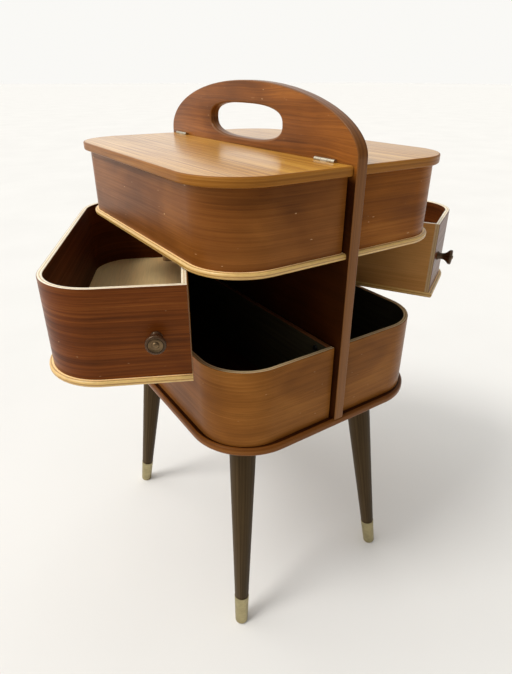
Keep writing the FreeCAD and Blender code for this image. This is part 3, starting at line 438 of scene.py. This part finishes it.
def weld(mesh):
    """Join the points that faces share, and turn every face outwards."""
    work = bmesh.new()
    work.from_mesh(mesh)
    bmesh.ops.remove_doubles(work, verts=work.verts, dist=1e-6)
    bmesh.ops.recalc_face_normals(work, faces=work.faces)
    work.to_mesh(mesh)
    work.free()


def running_length(points, start=0.0):
    """The distance along a line of points, one value for each, and one more for closing."""
    lengths = [start]
    for i in range(len(points)):
        step = (points[(i + 1) % len(points)] - points[i]).length
        lengths.append(lengths[-1] + step)
    return lengths


def arc_points(centre, radius, start, end, steps=ARC_STEPS):
    """Points on an arc in the XY plane, angles in degrees."""
    turns = [math.radians(start + (end - start) * i / steps) for i in range(steps + 1)]
    return [Vector((centre[0] + radius * math.cos(t), centre[1] + radius * math.sin(t), 0))
            for t in turns]


def d_path(inner, outer, near, far, radius):
    """From the near inner end, round both outer corners, to the far inner end."""
    return ([Vector((inner, near, 0))]
            + arc_points((outer - radius, near + radius), radius, -90, 0)
            + arc_points((outer - radius, far - radius), radius, 0, 90)
            + [Vector((inner, far, 0))])


def at_height(points, z):
    return [Vector((p.x, p.y, z)) for p in points]


def quarter(start, end, round_out):
    """Offsets that round a corner between two edges of length round_out."""
    return [(round_out * (1 - math.cos(t)), round_out * math.sin(t))
            for t in (math.radians(start + (end - start) * i / 4) for i in range(5))]


def closed_box(node, matrix):
    """A node's box before the drawer it belongs to is swung out."""
    back = matrix.inverted()
    points = [back @ v.co for v in frame["nodes"][node].data.vertices]
    low = Vector([min(p[i] for p in points) for i in range(3)])
    high = Vector([max(p[i] for p in points) for i in range(3)])
    return low, high


def drawer_matrix(side):
    """The turn that takes a closed drawer to where it stands at rest."""
    joint = next(j for j in frame["joints"] if j["name"] == side + "_drawer_swing")
    pivot = Matrix.Translation(joint["pos_m"])
    turn = Matrix.Rotation(math.radians(-joint["range_deg"][0]), 4, Vector(joint["axis"]))
    return pivot @ turn @ pivot.inverted()


def right_hand(low, high):
    """A box's inner and outer X, near and far Y and heights, as if it were at +X."""
    inner, outer = sorted((abs(low.x), abs(high.x)))
    return inner, outer, low.y, high.y, low.z, high.z


# ---- wooden boxes ----------------------------------------------------------------------------
def bent_wall(name, body, slot, node, side, radius, faces, matrix=Matrix(), end_gap=0.0):
    """A bent ply wall: outer face, rounded rim with its ply layers, inner face, foot and ends."""
    inner, outer, near, far, low, high = right_hand(*closed_box(node, matrix))
    inner += end_gap
    shape = Shape()
    section = [(0.0, low)]
    section += [(x, high - RIM_ROUND + z) for x, z in quarter(0, 90, RIM_ROUND)]
    section += [(PLY - x, high - RIM_ROUND + z) for x, z in reversed(quarter(0, 90, RIM_ROUND))]
    section += [(PLY, low)]
    outer_path = d_path(inner, outer, near, far, radius)
    lengths = running_length(outer_path)
    rings = []
    grains = []
    for depth, z in section:
        ring = d_path(inner, outer - depth, near + depth, far - depth, radius - depth)
        rings.append(at_height(ring, z))
        grains.append([(s, z, depth / PLY) for s in lengths])
    last = len(section) - 2
    for i in range(last + 1):
        material = 0 if i < OUTER_TURN else 2 if i == last else 1
        shape.strip(rings[i], rings[i + 1], grains[i], grains[i + 1], material)
    shape.strip(rings[-1], rings[0], grains[-1], grains[0], 1)
    for end in (0, -1):
        shape.face([ring[end] for ring in rings],
                   [(z, depth, depth / PLY) for depth, z in section], 3)
    return shape.make(name, body, slot, [node], faces, matrix, SIDES[side] < 0)


def flat_back(name, body, slot, node, side, faces, matrix=Matrix()):
    """The straight wall beside the centre board, rounded along its rim like the bent wall."""
    inner, outer, near, far, low, high = right_hand(*closed_box(node, matrix))
    shape = Shape()
    section = [(inner, low)]
    section += [(inner + x, high - RIM_ROUND + z) for x, z in quarter(0, 90, RIM_ROUND)]
    section += [(outer - x, high - RIM_ROUND + z) for x, z in reversed(quarter(0, 90, RIM_ROUND))]
    section += [(outer, low)]
    rings = [[Vector((x, y, z)) for y in (near, far)] for x, z in section]
    grains = [[(y, z, (x - inner) / PLY) for y in (near, far, far)] for x, z in section]
    last = len(section) - 2
    for i in range(last + 1):
        material = 0 if i < OUTER_TURN else 2 if i == last else 1
        shape.strip(rings[i], rings[i + 1], grains[i], grains[i + 1], material)
    shape.strip(rings[-1], rings[0], grains[-1], grains[0], 1)
    for end in (0, -1):
        shape.face([ring[end] for ring in rings],
                   [(z, x, (x - inner) / PLY) for x, z in section], 1)
    return shape.make(name, body, slot, [node], faces, matrix, SIDES[side] < 0)


def slab(name, body, slot, node, side, radius, profile, faces, inner_points=None,
         matrix=Matrix()):
    """A board with a straight inner edge, two round corners and a shaped outer edge.

    The profile is a list of (inset, height) from the underside's edge to the top's edge.
    """
    inner, outer, near, far, low, high = right_hand(*closed_box(node, matrix))
    shape = Shape()
    thickness = high - low
    outline = d_path(inner, outer, near, far, radius)
    lengths = running_length(outline)
    rings = []
    grains = []
    for inset, height in profile:
        ring = d_path(inner, outer - inset, near + inset, far - inset, radius - inset)
        rings.append(at_height(ring, low + height))
        grains.append([(s, height, height / thickness) for s in lengths])
    for i in range(len(rings) - 1):
        shape.strip(rings[i], rings[i + 1], grains[i], grains[i + 1], 1)
    inner_line = inner_points(inner) if inner_points else []
    caps = [list(ring) + [Vector((x, y, ring[0].z)) for x, y in inner_line]
            for ring in (rings[0], rings[-1])]
    for cap, material in zip(caps, (2, 0)):
        shape.face(cap, [(p.y, p.x, 0.5) for p in cap], material)
    columns = {0: [ring[0] for ring in rings], len(outline) - 1: [ring[-1] for ring in rings]}
    corners = len(caps[0])
    for i in range(len(outline) - 1, corners):
        start, end = (columns.get(k, [caps[0][k], caps[1][k]]) for k in (i, (i + 1) % corners))
        edge = start[::-1] + end
        shape.face(edge, [(p.y, p.z, (p.z - low) / thickness) for p in edge], 1)
    return shape.make(name, body, slot, [node], faces, matrix, SIDES[side] < 0)


def round_edge(thickness, round_out):
    """A profile with both edges rounded by the same amount."""
    lower = [(round_out * (1 - math.sin(t)), round_out * (1 - math.cos(t)))
             for t in (math.radians(90 * i / 5) for i in range(6))]
    upper = [(inset, thickness - height) for inset, height in reversed(lower)]
    return lower + upper


def hinge_notches(inner):
    """The points of a lid's inner edge, from its far end back, round both hinge notches."""
    leaf_low, leaf_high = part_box("board_hinge_leaves")
    notch_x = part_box("right_lid_hinge_leaves")[1].x
    half = HINGE_LENGTH / 2 + HINGE_NOTCH_MARGIN
    points = []
    for middle in (leaf_high.y - HINGE_LENGTH / 2, leaf_low.y + HINGE_LENGTH / 2):
        points += [(inner, middle + half), (notch_x, middle + half),
                   (notch_x, middle - half), (inner, middle - half)]
    return points


floor_profile = round_edge(FLOOR_PLY, FLOOR_PLY * 0.4)
lid_profile = round_edge(LID_THICKNESS, LID_ROUND)
for side in SIDES:
    turn = drawer_matrix(side)
    stand_wall = wood["wall_" + side]
    bent_wall(side + "_top_box_wall_veneer", "stand", "veneer", side + "_top_box_wall", side,
              WALL_RADIUS, [stand_wall, wood["rim"], wood["inside"], stand_wall])
    flat_back(side + "_top_box_back_veneer", "stand", "veneer", side + "_top_box_back", side,
              [wood["inside"], wood["rim"], wood["inside"]])
    slab(side + "_top_box_floor_board", "stand", "light_ply", side + "_top_box_floor", side,
         WALL_RADIUS + FLOOR_OVERHANG, floor_profile, [wood["birch"], wood["trim"], wood["inside"]])
    bent_wall(side + "_bin_wall_veneer", "stand", "veneer", side + "_bin_wall", side, BIN_RADIUS,
              [wood["bin_wall"], wood["bin_rim"], wood["black"], wood["bin_wall"]])
    flat_back(side + "_bin_back_veneer", "stand", "black_lined_ply", side + "_bin_back", side,
              [wood["inside"], wood["bin_back_rim"], wood["black"]])
    drawer = side + "_drawer"
    bent_wall(drawer + "_wall_veneer", drawer, "veneer", drawer + "_wall", side, WALL_RADIUS,
              [wood["drawer_wall"], wood["rim"], wood["inside"], wood["raw_rim"]], turn, DRAWER_END_GAP)
    flat_back(drawer + "_back_veneer", drawer, "raw_veneer", drawer + "_back", side,
              [wood["raw"], wood["rim"], wood["inside"]], turn)
    slab(drawer + "_floor_board", drawer, "light_ply", drawer + "_floor", side,
         WALL_RADIUS + FLOOR_OVERHANG, floor_profile, [wood["birch"], wood["trim"], wood["birch"]],
         matrix=turn)
    slab(side + "_lid_veneer", side + "_lid", "lid_veneer", side + "_lid", side, LID_RADIUS,
         lid_profile, [wood["lid"], wood["lid_edge"], wood["lid_edge"]], hinge_notches)


# ---- base plate and centre board ---------------------------------------------------------------
def base_plate():
    low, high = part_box("base_plate")
    thickness = high.z - low.z
    shape = Shape()
    rings = []
    grains = []
    for inset, height in round_edge(thickness, BASE_ROUND):
        right = d_path(0, high.x - inset, low.y + inset, high.y - inset, BASE_RADIUS - inset)[1:-1]
        ring = right + [Vector((-p.x, p.y, 0)) for p in reversed(right)]
        rings.append(at_height(ring, low.z + height))
        lengths = running_length(ring)
        grains.append([(s, height, height / thickness) for s in lengths])
    for i in range(len(rings) - 1):
        shape.strip(rings[i], rings[i + 1], grains[i], grains[i + 1], 1, closed=True)
    # the top (material 0) gets the dark stain with painted shade
    for ring, material in ((rings[0], 2), (rings[-1], 0)):
        shape.face(ring, [(p.y, p.x, 0.5) for p in ring], material)
    return shape.make("base_plate_veneer", "stand", "base_veneer", ["base_plate"],
                      [wood["base_top"], wood["base"], wood["base"]])


def hand_hole_points(grow):
    """The oval of the hand hole, grown by a distance, as (y, z) from its middle."""
    steps = 160
    power = 2 / HAND_HOLE_FULLNESS
    points = []
    for i in range(steps):
        turn = 2 * math.pi * i / steps
        along = math.copysign(abs(math.cos(turn)) ** power, math.cos(turn))
        up = math.copysign(abs(math.sin(turn)) ** power, math.sin(turn))
        points.append(Vector((along * HAND_HOLE_HALF_LENGTH, up * HAND_HOLE_HALF_HEIGHT, 0)))
    grown = []
    for i in range(steps):
        ahead = points[(i + 1) % steps] - points[i - 1]
        outward = Vector((ahead.y, -ahead.x, 0)).normalized()
        grown.append(points[i] + outward * grow + Vector((HAND_HOLE_OFFSET, 0, 0)))
    return grown


def board_points(inset, half_length, bottom, shoulder):
    """The board's outline with its arch, shrunk by a distance, as (y, z)."""
    arch = [Vector(((half_length - inset) * math.cos(t), shoulder + (ARCH_RISE - inset) * math.sin(t), 0))
            for t in (math.pi * i / 120 for i in range(121))]
    return arch + [Vector((inset - half_length, bottom, 0)), Vector((half_length - inset, bottom, 0))]


def centre_board():
    low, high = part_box("centre_board")
    half_length = high.y
    shoulder = high.z - ARCH_RISE
    middle = high.z - HAND_HOLE_DROP
    steps = [math.radians(90 * i / 4) for i in range(5)]
    shape = Shape()

    def upright(points, x, lift=0.0):
        return [Vector((x, p.x, p.y + lift)) for p in points]

    rims = []
    for sign in (-1, 1):
        rims += [(BOARD_ROUND * (1 - math.cos(t)), sign * (high.x - BOARD_ROUND * (1 - math.sin(t))))
                 for t in (steps if sign > 0 else reversed(steps))]
    outlines = [upright(board_points(inset, half_length, low.z, shoulder), x) for inset, x in rims]
    lengths = running_length(outlines[0])
    for first, second in zip(outlines, outlines[1:]):
        grains = [[(s, ring[0].x, (ring[0].x - low.x) / (high.x - low.x)) for s in lengths]
                  for ring in (first, second)]
        shape.strip(first, second, grains[0], grains[1], 1, closed=True)
    holes = []
    for sign in (-1, 1):
        holes += [(HAND_HOLE_ROUND * (1 - math.cos(t)),
                   sign * (high.x - HAND_HOLE_ROUND * (1 - math.sin(t))))
                  for t in (steps if sign > 0 else reversed(steps))]
    openings = [upright(hand_hole_points(grow), x, middle) for grow, x in holes]
    lengths = running_length(openings[0])
    for first, second in zip(openings, openings[1:]):
        grains = [[(s, ring[0].x, (ring[0].x - low.x) / (high.x - low.x)) for s in lengths]
                  for ring in (first, second)]
        shape.strip(first, second, grains[0], grains[1], 2, closed=True)
    for outline, opening in ((outlines[0], openings[0]), (outlines[-1], openings[-1])):
        corners = outline + opening
        for triangle in tessellate_polygon([[(p.y, p.z, 0) for p in outline],
                                            [(p.y, p.z, 0) for p in opening]]):
            points = [corners[i] for i in triangle]
            shape.face(points, [(p.y, p.z, 0.5) for p in points], 0)
    return shape.make("centre_board_veneer", "stand", "board_veneer", ["centre_board"],
                      [wood["board"], wood["board_edge"], wood["board_edge"]])


base_plate()
centre_board()


# ---- legs, ferrules and knobs ---------------------------------------------------------------
def lathe(profile, start, direction, steps=48):
    """A turned shape from (distance, radius) pairs along a direction."""
    direction = direction.normalized()
    side = direction.orthogonal().normalized()
    other = direction.cross(side)
    shape = Shape()
    rings = []
    grains = []
    for distance, radius in profile:
        turns = [2 * math.pi * i / steps for i in range(steps)]
        rings.append([start + direction * distance + (side * math.cos(t) + other * math.sin(t)) * radius
                      for t in turns])
        grains.append([(distance, 0.012 * 2 * math.pi * i / steps, radius) for i in range(steps + 1)])
    for i in range(len(rings) - 1):
        shape.strip(rings[i], rings[i + 1], grains[i], grains[i + 1], 0, closed=True)
    for ring, grain in ((rings[0], grains[0]), (rings[-1], grains[-1])):
        shape.face(ring, [(g[0], 0.3 * g[1], g[2]) for g in grain[:-1]], 0)
    return shape


def level(shape, direction, height, above):
    """Slide the points past a level along the leg until they lie on it."""
    for point in shape.points:
        past = point.z - height if above else height - point.z
        if past > 0:
            point -= direction * ((point.z - height) / direction.z)


def legs():
    for end, y_sign in (("front", -1), ("back", 1)):
        for side, x_sign in SIDES.items():
            name = end + "_" + side
            top_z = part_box("base_plate")[0].z
            top = Vector((x_sign * LEG_TOP.x, y_sign * LEG_TOP.y, top_z))
            slope = Vector((x_sign * LEG_SPLAY.x, y_sign * LEG_SPLAY.y, -top_z))
            length = slope.length
            direction = slope.normalized()
            ferrule_at = length * (1 - FERRULE_HEIGHT / top_z)
            leg = lathe([(0, LEG_TOP_RADIUS), (ferrule_at * 0.5, (LEG_TOP_RADIUS + LEG_TIP_RADIUS) / 2),
                         (ferrule_at - 0.001, LEG_TIP_RADIUS), (ferrule_at + 0.002, LEG_TIP_RADIUS * 0.9)],
                        top, direction)
            level(leg, direction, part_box("leg_" + name)[1].z, True)
            leg.make("leg_" + name + "_turned", "stand", "dark_wood", ["leg_" + name], [wood["leg"]])
            end_at = length + FERRULE_EXTRA
            cup = [(ferrule_at, FERRULE_TOP_RADIUS - 0.0007), (ferrule_at, FERRULE_TOP_RADIUS - 0.0002),
                   (ferrule_at + 0.0003, FERRULE_TOP_RADIUS)]
            cup += [(ferrule_at + FERRULE_RIM, FERRULE_TOP_RADIUS - 0.0001)]
            cup += [(end_at - FERRULE_FOOT_ROUND * (1 - math.sin(t)),
                     FERRULE_FOOT_RADIUS - FERRULE_FOOT_ROUND * (1 - math.cos(t)))
                    for t in (math.radians(90 * i / 6) for i in range(7))]
            ferrule = lathe(cup, top, direction)
            level(ferrule, direction, 0.0, False)
            ferrule.make("ferrule_" + name + "_cup", "stand", "brass", ["ferrule_" + name],
                         [metal["brass"]])


def knobs():
    for side in SIDES:
        turn = drawer_matrix(side)
        drawer = side + "_drawer"
        low, high = closed_box(drawer + "_knob", turn)
        cap_low, cap_high = closed_box(drawer + "_knob_cap", turn)
        foot = Vector(((low.x + high.x) / 2, high.y, (low.z + high.z) / 2))
        length = high.y - low.y
        head = (high.z - low.z) / 2
        cap = (cap_high.z - cap_low.z) / 2
        outline = [(0.0, 0.0), (0.0, 0.58), (0.05, 0.58), (0.09, 0.55), (0.13, 0.48), (0.2, 0.44),
                   (0.3, 0.417), (0.4, 0.43), (0.5, 0.48), (0.6, 0.59), (0.68, 0.74), (0.75, 0.88),
                   (0.8, 0.955), (0.85, 0.995), (0.89, 1.0), (0.94, 0.985), (0.98, 0.94),
                   (1.0, 0.87)]
        profile = [(length * d, head * r) for d, r in outline]
        profile += [(length, cap * 1.04), (length - KNOB_CAP_EDGE, cap * 1.02),
                    (length - KNOB_CAP_EDGE, 0.0)]
        knob = lathe(profile, foot, Vector((0, -1, 0)), 64)
        knob.make(drawer + "_knob_turned", drawer, "knob_wood", [drawer + "_knob"], [wood["knob"]],
                  turn, sharp=40)
        front = cap_high.y - cap_low.y
        seat = length - KNOB_CAP_SEAT
        disc = [(seat, 0.0), (seat, cap), (seat + KNOB_CAP_EDGE, cap), (length, cap * 0.96),
                (seat + KNOB_CAP_EDGE, cap * 0.86), (seat + 0.0013, cap * 0.72), (seat + 0.0012, cap * 0.6),
                (seat + 0.0015, cap * 0.5)]
        nub = cap * 0.48
        rise = front - 0.0016
        disc += [(seat + 0.0016 + rise * math.sin(t), nub * math.cos(t))
                 for t in (math.radians(90 * i / 8) for i in range(9))]
        plate = lathe(disc, foot, Vector((0, -1, 0)), 64)
        plate.make(drawer + "_knob_cap_spun", drawer, "brass", [drawer + "_knob_cap"],
                   [metal["old_brass"]], turn, sharp=50)


legs()
knobs()


# ---- carried-over fittings -------------------------------------------------------------------
def dress(node, material):
    """Give a CAD piece a finished material."""
    mesh = frame["nodes"][node].data
    mesh.materials.clear()
    mesh.materials.append(material)


for node in frame["nodes"]:
    if "hinge" in node:
        dress(node, metal["nickel"])
    elif "bin_screws" in node:
        dress(node, metal["blacked"])
    elif "pivot_block" in node or "spacers" in node:
        dress(node, wood["block"])
    elif any(word in node for word in ("screw", "bolts", "plates", "washers", "nuts", "rod", "sleeve")):
        dress(node, metal["steel"])


# ---- floor, light and camera -----------------------------------------------------------------
def floor():
    made = Nodes("pale_floor")
    place = made.add("ShaderNodeTexCoord").outputs["Object"]
    mottle = made.noise(place, 2.5, 3.0, 0.5)
    colour = made.ramp(mottle, [(0.3, rgb(0.735, 0.731, 0.714)), (0.7, rgb(0.764, 0.760, 0.742))])
    made.bump(made.noise(place, 160.0, 2.0), 0.05, 0.001)
    material = made.finish(colour, 0.9, Specular_IOR_Level=0.0)
    mesh = bpy.data.meshes.new("floor")
    corners = [(-FLOOR_REACH, -FLOOR_REACH, 0), (FLOOR_REACH, -FLOOR_REACH, 0),
               (FLOOR_REACH, FLOOR_REACH, 0), (-FLOOR_REACH, FLOOR_REACH, 0)]
    mesh.from_pydata(corners, [], [(0, 1, 2, 3)])
    mesh.materials.append(material)
    piece = bpy.data.objects.new("floor", mesh)
    bpy.context.scene.collection.objects.link(piece)


def soft_sun(name, direction, strength, spread, colour):
    data = bpy.data.lights.new(name, "SUN")
    data.energy = strength
    data.angle = math.radians(spread)
    data.color = colour
    light = bpy.data.objects.new(name, data)
    light.rotation_mode = "QUATERNION"
    light.rotation_quaternion = Vector(direction).to_track_quat("-Z", "Y")
    bpy.context.scene.collection.objects.link(light)


def world():
    """A white room with its window behind and to the left; the near side is darker."""
    made = bpy.data.worlds.new("room")
    made.use_nodes = True
    tree = made.node_tree
    background = tree.nodes["Background"]
    place = tree.nodes.new("ShaderNodeTexCoord")
    facing = tree.nodes.new("ShaderNodeVectorMath")
    facing.operation = "DOT_PRODUCT"
    facing.inputs[1].default_value = WINDOW_SIDE
    tree.links.new(place.outputs["Generated"], facing.inputs[0])
    strength = tree.nodes.new("ShaderNodeMapRange")
    strength.interpolation_type = "SMOOTHSTEP"
    for key, value in (("From Min", -0.5), ("From Max", 0.8), ("To Min", 0.24), ("To Max", 1.02)):
        strength.inputs[key].default_value = value
    tree.links.new(facing.outputs["Value"], strength.inputs["Value"])
    tree.links.new(strength.outputs["Result"], background.inputs["Strength"])
    background.inputs["Color"].default_value = rgb(1.0, 0.985, 0.96)
    seen = tree.nodes.new("ShaderNodeBackground")
    seen.inputs["Color"].default_value = rgb(0.955, 0.946, 0.917)
    path = tree.nodes.new("ShaderNodeLightPath")
    mix = tree.nodes.new("ShaderNodeMixShader")
    tree.links.new(path.outputs["Is Camera Ray"], mix.inputs["Fac"])
    tree.links.new(background.outputs[0], mix.inputs[1])
    tree.links.new(seen.outputs[0], mix.inputs[2])
    tree.links.new(mix.outputs[0], tree.nodes["World Output"].inputs["Surface"])
    bpy.context.scene.world = made


def camera():
    """The view from the front left, a little above the lids."""
    azimuth, elevation, roll = (math.radians(v) for v in CAMERA_DEGREES)
    back = Vector((math.sin(azimuth) * math.cos(elevation), -math.cos(azimuth) * math.cos(elevation),
                   math.sin(elevation)))
    data = bpy.data.cameras.new("camera")
    data.sensor_width = SENSOR_WIDTH
    data.lens = CAMERA_LENS
    data.clip_start = 0.01
    made = bpy.data.objects.new("camera", data)
    made.location = CAMERA_PLACE
    made.rotation_mode = "QUATERNION"
    aim = (-back).to_track_quat("-Z", "Y")
    made.rotation_quaternion = aim @ Matrix.Rotation(-roll, 4, "Z").to_quaternion()
    bpy.context.scene.collection.objects.link(made)
    bpy.context.scene.camera = made


floor()
soft_sun("daylight", (0.60, -0.10, -0.79), 1.35, 20, (1.0, 0.98, 0.945))
soft_sun("window", (0.58, -0.42, -0.70), 0.95, 60, (1.0, 0.985, 0.96))
world()
camera()
bpy.context.scene.view_settings.view_transform = "Standard"
